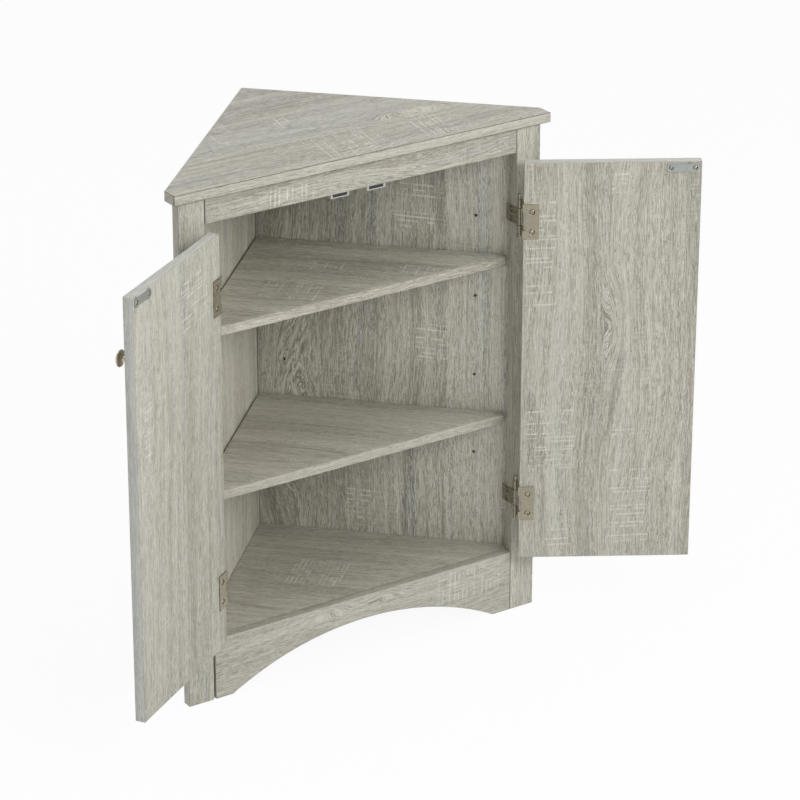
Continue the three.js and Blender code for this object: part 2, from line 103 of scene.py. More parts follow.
class Graph:
    # A material's node tree, with one method that makes any node.

    def __init__(self, tree):
        self.tree = tree

    def node(self, kind, settings=None, inputs=None, output=0):
        made = self.tree.nodes.new(kind)
        for name, value in (settings or {}).items():
            setattr(made, name, value)
        pairs = inputs.items() if isinstance(inputs, dict) else enumerate(inputs or [])
        for key, value in pairs:
            if isinstance(value, Val):
                self.tree.links.new(value.socket, made.inputs[key])
            else:
                made.inputs[key].default_value = value
        return Val(self.tree, made.outputs[output])

    def noise(self, across, along, scale, detail=2.0, roughness=0.5, shift=0.0):
        # Noise on stretched board coordinates: scale is waves per metre across and along the grain.
        point = self.vector(across * scale[0] + shift, along * scale[1] + shift, 0.0)
        return self.node("ShaderNodeTexNoise", {"noise_dimensions": "2D"},
                         {"Vector": point, "Scale": 1.0, "Detail": detail, "Roughness": roughness})

    def vector(self, x, y, z):
        return self.node("ShaderNodeCombineXYZ", None, [x, y, z])

    def split(self, vector):
        made = self.tree.nodes.new("ShaderNodeSeparateXYZ")
        self.tree.links.new(vector.socket, made.inputs[0])
        return [Val(self.tree, socket) for socket in made.outputs]

    def mixColour(self, factor, first, second):
        first = first if isinstance(first, Val) else (*first, 1)
        second = second if isinstance(second, Val) else (*second, 1)
        return self.node("ShaderNodeMix", {"data_type": "RGBA"}, {0: factor, 6: first, 7: second}, output=2)

    def lightPath(self, rays):  # one value for each kind of ray, 1 for a ray of that kind
        path = self.tree.nodes.new("ShaderNodeLightPath")
        return [Val(self.tree, path.outputs[name]) for name in rays]

    def chance(self, seed):  # an even random number from 0 to 1 for each whole value of seed
        return self.node("ShaderNodeTexWhiteNoise", {"noise_dimensions": "1D"}, {"W": seed})

    def attribute(self, name):
        return self.node("ShaderNodeAttribute", {"attribute_name": name}, output=2)

    def bump(self, strength, distance, height):
        inputs = {"Strength": strength, "Distance": distance, "Height": height}
        return self.node("ShaderNodeBump", None, inputs)


def newMaterial(name):
    material = bpy.data.materials.new(name)
    material.use_nodes = True
    tree = material.node_tree
    return material, Graph(tree), tree.nodes["Principled BSDF"]


def feed(graph, shader, **links):
    # Links values, or sets constants, on the shader's sockets.
    for name, value in links.items():
        socket = shader.inputs[name.replace("_", " ")]
        if isinstance(value, Val):
            graph.tree.links.new(value.socket, socket)
        else:
            socket.default_value = value


def fromSrgb(red, green, blue):
    # Linear colour of an sRGB colour written 0 to 255.
    def channel(c):
        c = c / 255
        return c / 12.92 if c <= 0.04045 else ((c + 0.055) / 1.055) ** 2.4
    return tuple(channel(c) for c in (red, green, blue))


# Washed oak laminate: the decor is printed in staves, and each stave has its own figure.
# Scales are waves per metre across and along the grain. A pair such as barEdge is where a mask starts
# and where it is full. A value such as rowSeed keeps one random draw apart from the next.

oak = {
    "staveWidth": 0.121,
    "staveShift": (7.0, 11.0),
    "staveSeed": 17.3,
    "staveTone": 0.09,
    "staveJoint": (0.008, 0.002),
    "jointStrength": 0.10,
    "base": fromSrgb(181, 178, 166),
    "light": fromSrgb(206, 204, 193),
    "dark": fromSrgb(134, 129, 116),
    "coolBase": fromSrgb(177, 176, 167),
    "coolDark": fromSrgb(122, 121, 115),
    "sawMark": fromSrgb(216, 214, 204),
    "edgeLine": fromSrgb(92, 87, 78),
    "edgeTint": fromSrgb(203, 206, 205),
    "darkening": -2.8,
    "lightening": 2.6,
    "level": 0.03,
    "leanScale": (7.0, 3.2),
    "leanReach": 0.030,
    "waveScale": (30.0, 11.0),
    "waveReach": 0.0012,
    "knotLength": 4,
    "stripeScale": (20.0, 0.25),
    "strokeScale": (240.0, 7.0),
    "speckleScale": (1000.0, 75.0),
    "gritScale": (1200.0, 260.0),
    "shuffle": 0.5,
    "stripes": 1.15,
    "strokes": 0.60,
    "speckle": 0.90,
    "grit": 1.25,
    "poreScale": (600.0, 44.0),
    "poreEdge": (0.56, 0.70),
    "poreField": (15.0, 4.0),
    "poreFieldEdge": (0.42, 0.68),
    "poreFloor": 0.2,
    "pores": 0.10,
    "tintScale": (40.0, 1.5),
    "tintEdge": (0.72, 0.84),
    "tintShift": 0.24,
    "staveTint": 0.08,
    "markPitch": 0.0074,
    "markWander": 0.5,
    "rowSeed": (3.7, 9.1),
    "barEdge": (0.25, 0.04),
    "barChance": (0.05, 0.55),
    "raggedScale": (48.0, 0.37),
    "raggedEdge": (0.38, 0.56),
    "raggedSeed": 3.1,
    "hazeScale": (17.0, 7.0),
    "hazeEdge": (0.56, 0.64),
    "hazeSeed": 2.3,
    "markStrength": (0.72, 1.5),
    "markRelief": (0.3, 0.02),
    "patchSoftness": (3 * mm, 4 * mm),
    "flamePower": 0.45,
    "flameSides": (0.8 * mm, -0.8 * mm),
    "flameTip": (0.0, 0.03),
    "flameBase": (1.0, 0.8),
    "flameFray": 4 * mm,
    "flameSpeckle": 0.8,
    "flameShade": 0.04,
    "seamEdge": (1.4 * mm, 0.5 * mm),
    "seamStrength": 0.7,
    "relief": (0.6, 0.8, 0.4),
    "bump": 0.10,
    "bumpDepth": 0.3 * mm,
    "roughness": (0.52, 0.3),
    "specular": 0.35,
}


def surfaceCoords(graph):
    # Across and along the grain, in metres, from the piece's own UV map.
    return graph.split(graph.node("ShaderNodeUVMap", {"uv_map": "grain"}))[:2]


def objectCoords(graph, across, along, outwards, depth):
    # Across and along the grain from Object coordinates, for a board kept from the frame. The distance
    # behind its face, which lies at depth along outwards, is added across, so that the grain also
    # runs over its edges.
    place = graph.node("ShaderNodeTexCoord", output=3)
    over, run, back = [
        graph.node("ShaderNodeVectorMath", {"operation": "DOT_PRODUCT"}, [place, direction], output=1)
        for direction in (across, along, outwards)
    ]
    return [over + back - depth, run]


def patch(across, along, halfAcross, halfAlong, place):
    # 1 inside a rectangle about place, on the board's own coordinates, with soft sides.
    softAcross, softAlong = oak["patchSoftness"]
    inside = (across - place[0]).math("ABSOLUTE").step(halfAcross + softAcross, halfAcross - softAcross)
    return inside * (along - place[1]).math("ABSOLUTE").step(halfAlong + softAlong, halfAlong - softAlong)


def flame(across, along, tip, base, width):
    # 1 inside a long patch with one straight side from tip to base. It opens from its tip with a
    # power of the way t along it, to the side that the sign of width gives, and fades at its base.
    t = ((along - tip[1]) / (base[1] - tip[1])).math("MULTIPLY", 1.0, clamp=True)
    half = (t ** oak["flamePower"]) * (width / 2)
    out = (across - tip[0] - t * (base[0] - tip[0]) - half).math("ABSOLUTE") - half.math("ABSOLUTE")
    return out.step(*oak["flameSides"]) * t.step(*oak["flameTip"]) * t.step(*oak["flameBase"])


def grainFields(graph, u, v, across, along, knots):
    # Noise on a line coordinate, stretched along the grain: long stripes, strokes, fine speckle, grit
    # and pores. The line is u with a slow lean and a small wave, raised round each knot, so that the
    # lines close there into cathedrals. The stripes also shift the finer fields along the grain, so
    # that their rows don't line up. Pores are short dark ticks that gather in fields.
    lean = graph.noise(u, v, oak["leanScale"], detail=0.0) - 0.5
    wave = graph.noise(u, v, oak["waveScale"], detail=1.0) - 0.5
    line = u + lean * oak["leanReach"] + wave * oak["waveReach"]
    for place, radius, strength in knots:
        x, y = (across - place[0]) / radius, (along - place[1]) / (radius * oak["knotLength"])
        hill = (1 - x * x - y * y).math("MAXIMUM", 0.0)
        line = line + hill * hill * (strength * radius)
    stripes = graph.noise(line, v, oak["stripeScale"], detail=5.0, roughness=0.95) - 0.5
    shifted = v + stripes * oak["shuffle"]
    strokes = graph.noise(line, shifted, oak["strokeScale"], detail=2.0, roughness=0.9) - 0.5
    speckle = graph.noise(line, shifted, oak["speckleScale"], detail=0.0) - 0.5
    grit = graph.noise(line, shifted, oak["gritScale"], detail=0.0) - 0.5
    field = graph.noise(line, v, oak["poreField"], detail=1.0, shift=3.0).step(*oak["poreFieldEdge"])
    ticks = graph.noise(line, shifted, oak["poreScale"], detail=0.0).step(*oak["poreEdge"])
    return line, stripes, strokes, speckle, grit, ticks * (oak["poreFloor"] + field)


def sawMarks(graph, across, along, seed, marks, faint, tilt):
    # Pale lines across the grain, tilted and at uneven steps, strong inside the patches that marks
    # lists and faint in a few others. Gives the lines and the listed patches.
    slope = (along + across * tilt) / oak["markPitch"]
    row = slope.math("FLOOR")
    bySeed, byPick = oak["rowSeed"]
    rowPick = [graph.chance(row + seed * bySeed + k * byPick) for k in range(2)]
    offset = (slope - row - 0.5 + (rowPick[0] - 0.5) * oak["markWander"]).math("ABSOLUTE")
    bar = offset.step(*oak["barEdge"]) * rowPick[1].step(*oak["barChance"])
    ragged = graph.noise(across, row, oak["raggedScale"], detail=1.0, shift=seed * oak["raggedSeed"])
    haze = graph.noise(across, along, oak["hazeScale"], detail=1.0, shift=seed * oak["hazeSeed"])
    strong = 0.0
    for place in marks:
        strong = patch(across, along, place[2], place[3], place) + strong
    places = haze.step(*oak["hazeEdge"]) * faint + strong
    return bar * ragged.step(*oak["raggedEdge"]) * places, strong


def oakMaterial(name, seed, coords=None, border=0.0, gain=1.0, contrast=1.0, cool=0.5, knots=(), marks=(),
                faint=0.3, tilt=0.04, flames=(), drift=(0.0, 0.0, 0.0, 0.0), edge=0.0, edgeCalm=0.4,
                edgeShade=0.07, arris=0.4, seamAt=None):
    # Each stave has its own shift and tone, and border is where one ends. The fields add up to one
    # shade, which runs from the dark colour over the base to the light one; gain scales these colours,
    # contrast the shade, and cool the share of grey. Knots, marks and flames are lists of places.
    # drift gives a point of the board and how fast the shade grows from there, across and along the
    # grain. Edge faces have less contrast by edgeCalm and are tinted by edge. A painted shade darkens
    # them for how light falls on them, or painted light lightens them where its number is below zero.
    # A line of strength arris follows the arrises. A board from the frame has none of these, but a dark
    # seam at seamAt across.
    material, graph, shader = newMaterial(name)
    toned = ("base", "light", "dark", "coolBase", "coolDark", "sawMark")
    tone = {key: tuple(c * gain for c in oak[key]) for key in toned}
    across, along = coords(graph) if coords else surfaceCoords(graph)
    stave = ((across - border) / oak["staveWidth"]).math("FLOOR")
    inStave = (across - border) / oak["staveWidth"] - stave
    pick = [graph.chance(stave + seed + k * oak["staveSeed"]) for k in range(3)]
    u = across + pick[0] * oak["staveShift"][0]
    v = along + pick[1] * oak["staveShift"][1]
    ownEdges = seamAt is None
    onEdge = graph.attribute("edge") if ownEdges else 0.0

    line, stripes, strokes, speckle, grit, pores = grainFields(graph, u, v, across, along, knots)
    fine = strokes * oak["strokes"] + speckle * oak["speckle"] + grit * oak["grit"]
    shade = stripes * oak["stripes"] + fine - pores * oak["pores"] + (pick[2] - 0.5) * oak["staveTone"]
    shade = shade * contrast + oak["level"]
    if ownEdges:
        shade = shade * (1 - onEdge * edgeCalm)
    if any(drift[2:]):
        shade = shade + (across - drift[0]) * drift[2] + (along - drift[1]) * drift[3]
    lines, strong = sawMarks(graph, across, along, seed, marks, faint, tilt)
    if marks:
        shade = shade + strong * (fine * oak["markRelief"][0] + oak["markRelief"][1])

    tint = graph.noise(line, v, oak["tintScale"], detail=1.0, shift=4.0) + (pick[1] - 0.5) * oak["staveTint"]
    coolness = tint.step(*[limit - cool * oak["tintShift"] for limit in oak["tintEdge"]])
    ground = graph.mixColour(coolness, tone["base"], tone["coolBase"])
    dark = graph.mixColour(coolness, tone["dark"], tone["coolDark"])
    for tip, base, width, depth in flames:
        inFlame = flame(across + strokes * oak["flameFray"], along, tip, base, width)
        ground = graph.mixColour(inFlame * (depth + speckle * oak["flameSpeckle"]), ground, tone["coolDark"])
        shade = shade - inFlame * oak["flameShade"]
    # Painted shade on the edge faces, or painted light where its number is below zero.
    if ownEdges:
        shade = shade - onEdge * edgeShade
    colour = graph.mixColour(shade.clamped(oak["darkening"]), ground, dark)
    colour = graph.mixColour(shade.clamped(oak["lightening"]), colour, tone["light"])
    onFace = 1 - onEdge
    markBase, markSpeckle = oak["markStrength"]
    colour = graph.mixColour(lines * onFace * (markBase + speckle * markSpeckle), colour, tone["sawMark"])
    joint = inStave.step(*oak["staveJoint"]) * oak["jointStrength"] * onFace
    colour = graph.mixColour(joint, colour, oak["dark"])
    if edge:
        colour = graph.mixColour(onEdge * edge, colour, oak["edgeTint"])
    if ownEdges:
        rim = graph.attribute("arris") * arris
    else:
        rim = (across - seamAt).math("ABSOLUTE").step(*oak["seamEdge"]) * oak["seamStrength"]
    colour = graph.mixColour(rim, colour, oak["edgeLine"])

    height = strokes * oak["relief"][0] + speckle * oak["relief"][1] - pores * oak["relief"][2]
    feed(graph, shader, Base_Color=colour, Roughness=oak["roughness"][0] + strokes * oak["roughness"][1],
         Specular_IOR_Level=oak["specular"], Normal=graph.bump(oak["bump"], oak["bumpDepth"], height))
    return material


# Metal, plastic and ferrite finishes

finishes = {
    "hinge_metal": {"colour": (156, 150, 131), "shade": (150, 144, 125), "roughness": 0.28, "metallic": 0.7},
    "pin_metal": {"colour": (190, 183, 166), "shade": (166, 158, 140), "roughness": 0.16, "metallic": 1.0},
    # The screw's groove colour is a painted shadow for the gap round its head.
    "screw_metal": {"colour": (190, 184, 170), "shade": (166, 159, 143), "roughness": 0.22, "metallic": 1.0,
                    "groove": (66, 60, 49)},
    "knob_metal": {"colour": (206, 197, 177), "shade": (188, 179, 159), "roughness": 0.20, "metallic": 0.85},
    "zinc_steel": {"colour": (172, 177, 173), "shade": (158, 164, 161), "roughness": 0.34, "metallic": 0.8},
    "grey_plastic": {"colour": (204, 204, 200), "shade": (192, 192, 187), "roughness": 0.46, "metallic": 0.0},
    "magnet": {"colour": (62, 62, 64), "shade": (44, 44, 47), "roughness": 0.60, "metallic": 0.0},
}


finishNoise = {
    "cloudScale": 160.0,
    "brushScale": (900.0, 900.0, 9000.0),
    "grainScale": 3200.0,
    "shares": (0.6, 0.4),
    "cloudEdge": (0.35, 0.68),
    "glossSpread": (0.16, 0.08),
    "bump": 0.12,
    "bumpDepth": 0.05 * mm,
}


def finishMaterial(slot):
    # Cloudy patches and fine brush lines vary the colour and the gloss; a small grain gives the bump.
    look = finishes[slot]
    material, graph, shader = newMaterial(slot + "_finish")
    place = graph.node("ShaderNodeTexCoord", output=3)
    axes = zip(graph.split(place), finishNoise["brushScale"])
    stretched = graph.vector(*[axis * scale for axis, scale in axes])
    cloud, brush, grain = [
        graph.node("ShaderNodeTexNoise", None, {"Vector": vector, "Scale": scale, "Detail": detail})
        for vector, scale, detail in (
            (place, finishNoise["cloudScale"], 3.0),
            (stretched, 1.0, 1.0),
            (place, finishNoise["grainScale"], 1.0),
        )
    ]
    most, rest = finishNoise["shares"]
    cloudy = (cloud * most + brush * rest).step(*finishNoise["cloudEdge"])
    colour = graph.mixColour(cloudy, fromSrgb(*look["shade"]), fromSrgb(*look["colour"]))
    # The groove rows are drawn dark: a painted shadow.
    if "groove" in look:
        colour = graph.mixColour(graph.attribute("groove"), colour, fromSrgb(*look["groove"]))
    byCloud, byBrush = finishNoise["glossSpread"]
    roughness = look["roughness"] + (cloud - 0.5) * byCloud + (brush - 0.5) * byBrush
    bump = graph.bump(finishNoise["bump"], finishNoise["bumpDepth"], grain * most + brush * rest)
    feed(graph, shader, Base_Color=colour, Roughness=roughness, Metallic=look["metallic"], Normal=bump)
    return material


metalFinish = {slot: finishMaterial(slot) for slot in finishes}
print("finishes mixed")


# Putting a piece in place

def finish(piece, material, node, smooth=40):
    # Smooth shading up to an angle, but flat on faces with more than four corners, such as the boards'
    # wide faces. Then one material, and the body of the CAD piece it stands for, whose node is hidden.
    mesh = piece.data
    mesh.materials.clear()
    mesh.materials.append(material)
    corners = np.empty(len(mesh.polygons), np.int32)
    mesh.polygons.foreach_get("loop_total", corners)
    mesh.polygons.foreach_set("use_smooth", corners <= 4)
    mesh.set_sharp_from_angle(angle=math.radians(smooth))
    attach(piece, bodyOf[node])
    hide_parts(node)
    return piece


def newPiece(name, points, faces):
    mesh = bpy.data.meshes.new(name)
    mesh.from_pydata(points.tolist(), [], faces)
    piece = bpy.data.objects.new(name, mesh)
    bpy.context.collection.objects.link(piece)
    return piece


def nodePoints(name):
    # All vertices of a CAD node, as an array.
    mesh = frame["nodes"][name].data
    points = np.empty(len(mesh.vertices) * 3, np.float32)
    mesh.vertices.foreach_get("co", points)
    return points.reshape(-1, 3).astype(float)


def doorTurn(side):
    # A door's pin line and opening angle, from its joint.
    name = ("right" if side > 0 else "left") + "_door_swing"
    joint = next(j for j in frame["joints"] if j["name"] == name)
    pin = np.array([joint["pos_m"][0], joint["pos_m"][1], 0.0])
    angle = side * math.radians(-joint["range_deg"][0])
    return pin, np.array(Matrix.Rotation(angle, 3, "Z"))


doorTurns = {side: doorTurn(side) for side in (-1, 1)}


def closedPoints(side, node):
    # A door piece's CAD vertices, turned back about the pin to the closed door.
    pin, turn = doorTurns[side]
    return (nodePoints(node) - pin) @ turn


def openPlace(side, closedPlace):
    # The map from a closed door's own frame to the open door in the cupboard.
    pin, turn = doorTurns[side]
    return lambda p: closedPlace(p) @ turn.T + pin


# Board geometry

boards = {
    "arris": 0.7 * mm,
    "cornerRadius": 1.1 * mm,
    "top": {"arris": 1.2 * mm, "cornerRadius": 1.5 * mm},
    "edgeAcross": {"flat": 0.55, "front": 0.31, "door": 0.45},
    "cornerSteps": 4,
    "straightAngle": math.radians(84),
    "archSteps": 56,
    "arrisSteps": 4,
    "mitreLimit": 0.2,
    "archClear": 2 * mm,
    "footLeast": 5 * mm,
}


def lineNormals(outline):
    # Mitred outward normals of a closed anticlockwise outline, one at each point.
    before = outline - np.roll(outline, 1, axis=0)
    after = np.roll(outline, -1, axis=0) - outline
    sides = []
    for step in (before, after):
        length = np.linalg.norm(step, axis=1, keepdims=True)
        sides.append(np.stack([step[:, 1], -step[:, 0]], axis=1) / length)
    total = sides[0] + sides[1]
    return total / np.maximum((total * sides[0]).sum(axis=1, keepdims=True), boards["mitreLimit"])


def roundedOutline(corners, radius=boards["cornerRadius"]):
    # Each sharp corner of an anticlockwise outline becomes a short curve through its tangent points.
    corners = np.asarray(corners, float)
    steps = boards["cornerSteps"]
    points = []
    marks = []
    for i, here in enumerate(corners):
        last, following = corners[i - 1], corners[(i + 1) % len(corners)]
        a = (last - here) / np.linalg.norm(last - here)
        b = (following - here) / np.linalg.norm(following - here)
        half = math.acos(max(-1.0, min(1.0, float(a @ b)))) / 2
        if half > boards["straightAngle"]:
            points.append(here[None, :])
            marks.append([0.0])
            continue
        reach = radius / math.tan(half)
        t = np.linspace(0, 1, steps + 1)[:, None]
        start, end = here + a * reach, here + b * reach
        points.append((1 - t) ** 2 * start + 2 * t * (1 - t) * here + t ** 2 * end)
        marks.append([0.0] + [1.0] * (steps - 1) + [0.0])
    return np.concatenate(points), np.concatenate(marks)


def boardMesh(name, outline, marks, thickness, place, grain, edgeAcross, arris=boards["arris"],
              cornerLine=False):
    # A board is its outline carried through its thickness: ring k lies at height z(k), drawn in by
    # inset(k), which follows a quarter circle at each arris. The two faces close it as polygons.
    # grain(points) gives the faces' UV, across and along the grain in metres. The edges' UV runs along
    # the outline, with its across coordinate from edgeAcross up. The attributes mark the arrises, with
    # the upright corners where cornerLine is set, and the edge faces.
    outline = np.asarray(outline, float)
    count = len(outline)
    turn = np.linspace(0, math.pi / 2, boards["arrisSteps"])
    inset = np.concatenate([arris * (1 - np.sin(turn)), arris * (1 - np.sin(turn[::-1]))])
    height = np.concatenate([arris * (1 - np.cos(turn)), thickness - arris * (1 - np.cos(turn[::-1]))])
    rings = outline[None, :, :] - lineNormals(outline)[None, :, :] * inset[:, None, None]
    local = np.concatenate([rings, np.broadcast_to(height[:, None, None], (*rings.shape[:2], 1))], axis=2)
    local = local.reshape(-1, 3)
    levels = len(inset)
    quad = np.arange(count * (levels - 1))
    level, i = quad // count, quad % count
    following = (i + 1) % count
    low, high = level * count, (level + 1) * count
    quads = np.stack([low + i, low + following, high + following, high + i], axis=1)
    bottom, top = np.arange(count)[::-1], np.arange(count) + (levels - 1) * count
    piece = newPiece(name, place(local), [*quads.tolist(), bottom.tolist(), top.tolist()])

    mesh = piece.data
    run = np.concatenate([[0.0], np.cumsum(np.linalg.norm(np.roll(outline, -1, axis=0) - outline, axis=1))])
    depth = np.cumsum(np.concatenate([[0.0], np.hypot(np.diff(inset), np.diff(height))])) + edgeAcross
    sideUv = np.stack([depth[np.stack([level, level, level + 1, level + 1], axis=1)],
                       run[np.stack([i, i + 1, i + 1, i], axis=1)]], axis=2)
    uv = np.concatenate([sideUv.reshape(-1, 2), grain(local)[np.concatenate([bottom, top])]])
    mesh.uv_layers.new(name="grain").data.foreach_set("uv", uv.ravel().astype(np.float32))
    line = np.zeros((levels, count), np.float32)
    line[[1, 2, levels - 3, levels - 2], :] = 1.0
    if cornerLine:
        line[1:-1] = np.maximum(line[1:-1], np.asarray(marks, np.float32)[None, :])
    mesh.attributes.new("arris", "FLOAT", "POINT").data.foreach_set("value", line.ravel())
    edge = np.concatenate([np.ones(len(quad)), np.zeros(2)]).astype(np.float32)
    mesh.attributes.new("edge", "FLOAT", "FACE").data.foreach_set("value", edge)
    return piece


def flatPlace(base):  # a board lying flat: outline in X and Y, thickness up from z = base
    return lambda p: p + np.array([0, 0, base])


def uprightPlace(frontY, thickness):  # a board across the front: outline in X and Z, front face at frontY
    return lambda p: np.stack([p[:, 0], frontY + thickness - p[:, 2], p[:, 1]], axis=1)


def grainAlong(direction):
    # UV of a face: along the grain is the dot product with direction, across is square to it.
    along = np.array([direction[0], direction[1]]) / math.hypot(*direction)
    across = np.array([along[1], -along[0]])
    return lambda p: np.stack([p[:, :2] @ across, p[:, :2] @ along], axis=1)


def rectangle(low, high):
    return np.array([[low[0], low[1]], [high[0], low[1]], [high[0], high[1]], [low[0], high[1]]])


def planOutline(node):
    # The CAD node's own plan corners, in order round their centre.
    corners = np.unique(np.round(nodePoints(node)[:, :2], 5), axis=0)
    centre = corners.mean(axis=0)
    return corners[np.argsort(np.arctan2(corners[:, 1] - centre[1], corners[:, 0] - centre[0]))]


def apronOutline(node):
    # The apron's lower edge is one circular arc between two flat feet. Its apex is the highest point
    # clear of the apron's own top and bottom, and it ends at the feet's inner corners.
    points = nodePoints(node)
    low, high = points.min(axis=0), points.max(axis=0)
    clear = boards["archClear"]
    inside = (points[:, 2] > low[2] + clear) & (points[:, 2] < high[2] - clear)
    apex = points[inside, 2].max()
    feet = np.abs(points[points[:, 2] < low[2] + onPlane][:, 0])
    half = feet[feet < feet.max() - boards["footLeast"]].max()
    radius = (half ** 2 + apex ** 2) / (2 * apex)
    reach = math.asin(half / radius)
    angle = np.linspace(-reach, reach, boards["archSteps"])
    arch = np.stack([radius * np.sin(angle), radius * np.cos(angle) - (radius - apex)], axis=1)
    return [[low[0], 0], *arch.tolist(), [high[0], 0], [high[0], high[2]], [low[0], high[2]]]


def flatBoard(node, grain, seed, cornerLine=False, **look):
    low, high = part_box(node)
    edging = boards["top"] if cornerLine else boards
    outline, marks = roundedOutline(planOutline(node), edging["cornerRadius"])
    piece = boardMesh(node + "_board", outline, marks, high.z - low.z, flatPlace(low.z),
                      grainAlong(grain), boards["edgeAcross"]["flat"], edging["arris"], cornerLine)
    finish(piece, oakMaterial("washedOak_" + node, seed, **look), node)


def frontBoard(node, grain, seed, corners=None, **look):
    low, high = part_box(node)
    if corners is None:
        corners = rectangle((low.x, low.z), (high.x, high.z))
    outline, marks = roundedOutline(corners)
    piece = boardMesh(node + "_board", outline, marks, high.y - low.y,
                      uprightPlace(low.y, high.y - low.y), grainAlong(grain), boards["edgeAcross"]["front"])
    finish(piece, oakMaterial("washedOak_" + node, seed, **look), node)


# Places are across and along the grain, in metres. A mark has its half sizes after its place, a flame
# its tip, base, width and depth, and a knot its place, radius and strength.

alongRightWall = (1, -1)
# The top's edge faces are lightened by painted light.
flatBoard(
    "top_panel", (1, 0), 1, cornerLine=True, cool=0.6, border=0.105, tilt=0.18, gain=1.01, contrast=1.25,
    arris=0.95, edgeShade=-0.07,
    marks=[(0.285, 0.0, 0.058, 0.055), (0.270, 0.14, 0.040, 0.030), (0.140, -0.035, 0.020, 0.016),
           (0.158, -0.145, 0.028, 0.010)],
    flames=[((0.060, 0.120), (0.072, -0.080), 0.016, 0.45), ((0.010, 0.090), (0.016, -0.010), 0.010, 0.50)],
    knots=[((0.192, 0.157), 0.030, 0.8)],
)
flatBoard(
    "bottom_shelf", alongRightWall, 2, cool=0.3, border=0.080,
    marks=[(0.160, 0.135, 0.042, 0.045)],
    flames=[((0.188, 0.13), (0.190, -0.06), -0.030, 0.40), ((0.305, 0.130), (0.280, 0.0), -0.014, 0.45)],
)
flatBoard("lower_shelf", alongRightWall, 3, cool=0.3, faint=0.4)
# gain lightens this shelf, painted light for its top inside the cupboard; painted shade darkens its edge faces.
flatBoard(
    "upper_shelf", alongRightWall, 4, cool=0.3, gain=1.16, border=0.064, contrast=1.2, edgeShade=0.14,
    marks=[(0.098, 0.285, 0.018, 0.036), (0.215, 0.105, 0.030, 0.050), (0.108, 0.140, 0.014, 0.040)],
    flames=[((0.074, 0.335), (0.080, 0.120), 0.048, 0.30), ((0.073, 0.330), (0.079, 0.150), 0.004, 0.70)],
)
# Painted light lightens the left stile's edge faces, its side that looks to the left among them, for light from
# the left.
frontBoard(
    "left_stile", (0, 1), 5, cool=0.4, faint=0.1, gain=0.96, edgeCalm=0.0, edgeShade=-0.22, arris=0.65,
)
frontBoard("right_stile", (0, 1), 6, cool=0.4, faint=0.1, gain=1.04)
frontBoard("top_rail", (1, 0), 7, cool=0.4, marks=[(-0.760, -0.125, 0.012, 0.045)])
frontBoard(
    "bottom_apron", (1, 0), 8, corners=apronOutline("bottom_apron"), cool=0.3, gain=0.90,
    marks=[(-0.066, 0.187, 0.022, 0.058)],
    knots=[((-0.092, -0.075), 0.020, 0.75), ((-0.092, 0.03), 0.016, 0.7)],
)
print("carcass boards made")


# Walls keep their CAD solids: the grain runs up them, and a dark seam stands in their corner.

diagonal = math.sqrt(0.5)
innerCorner = 7.5 * mm  # half a wall's thickness, since the walls' middle planes cross at the Z axis
wallLooks = {
    "left_wall": {
        "seed": 9, "across": (-diagonal, -diagonal, 0), "outwards": (-diagonal, diagonal, 0), "cool": 0.3,
        # gain lightens the left wall: painted light on its inner face.
        "gain": 1.18, "border": 0.18,
    },
    "right_wall": {
        "seed": 10, "across": (diagonal, -diagonal, 0), "outwards": (diagonal, diagonal, 0), "cool": 0.45,
        # drift darkens the right wall towards its inner corner: painted shade.
        "border": 0.180, "contrast": 1.6, "drift": (0.34, 0.0, 0.42, 0.0),
        "marks": [(0.250, 0.640, 0.030, 0.040), (0.279, 0.432, 0.024, 0.036),
                  (0.164, 0.144, 0.020, 0.034), (0.374, 0.163, 0.020, 0.006)],
        "flames": [((0.3003, 0.594), (0.294, 0.760), -0.036, 0.75),
                   ((0.177, 0.655), (0.174, 0.560), -0.014, 0.5)],
        "knots": [((0.020, 0.360), 0.085, 0.6)],
    },
}
for node, look in wallLooks.items():
    across, outwards = look.pop("across"), look.pop("outwards")
    face = float((nodePoints(node) @ np.array(outwards)).min())
    material = oakMaterial("washedOak_" + node,
                           coords=lambda graph: objectCoords(graph, across, (0, 0, 1), outwards, face),
                           seamAt=innerCorner, **look)
    frame["nodes"][node].data.materials.clear()
    frame["nodes"][node].data.materials.append(material)
print("walls dressed")


# Doors, each worked out closed, in the frame of its own hinge pins

doorLooks = {
    -1: {
        "seed": 11, "cool": 0.3, "gain": 0.97, "border": 0.133,
        "edge": 0.45, "edgeCalm": -1.4, "edgeShade": -0.03, "arris": 0.5,
        "drift": (0.0, 0.55, 0.0, 0.25),
        "marks": [(0.227, 0.545, 0.012, 0.055), (0.084, 0.672, 0.040, 0.042)],
    },
    1: {
        "seed": 12, "cool": 0.35, "border": -0.133,
        "edge": 0.4, "edgeCalm": -1.0, "edgeShade": 0.02, "arris": 0.5,
        "drift": (-0.050, 0.450, 0.6, -0.1),
        "marks": [(-0.030, 0.595, 0.022, 0.090), (-0.145, 0.715, 0.013, 0.022),
                  (-0.050, 0.300, 0.036, 0.050), (-0.064, 0.130, 0.020, 0.018),
                  (-0.170, 0.190, 0.030, 0.062), (-0.159, 0.313, 0.017, 0.010)],
        "flames": [((-0.0140, 0.383), (-0.0165, 0.235), -0.032, 0.65),
                   ((-0.132, 0.300), (-0.152, 0.455), -0.014, 0.55),
                   ((-0.038, 0.130), (-0.035, 0.262), -0.009, 0.40)],
        "knots": [((-0.145, 0.490), 0.026, 0.68)],
    },
}
sideNames = {-1: "left", 1: "right"}

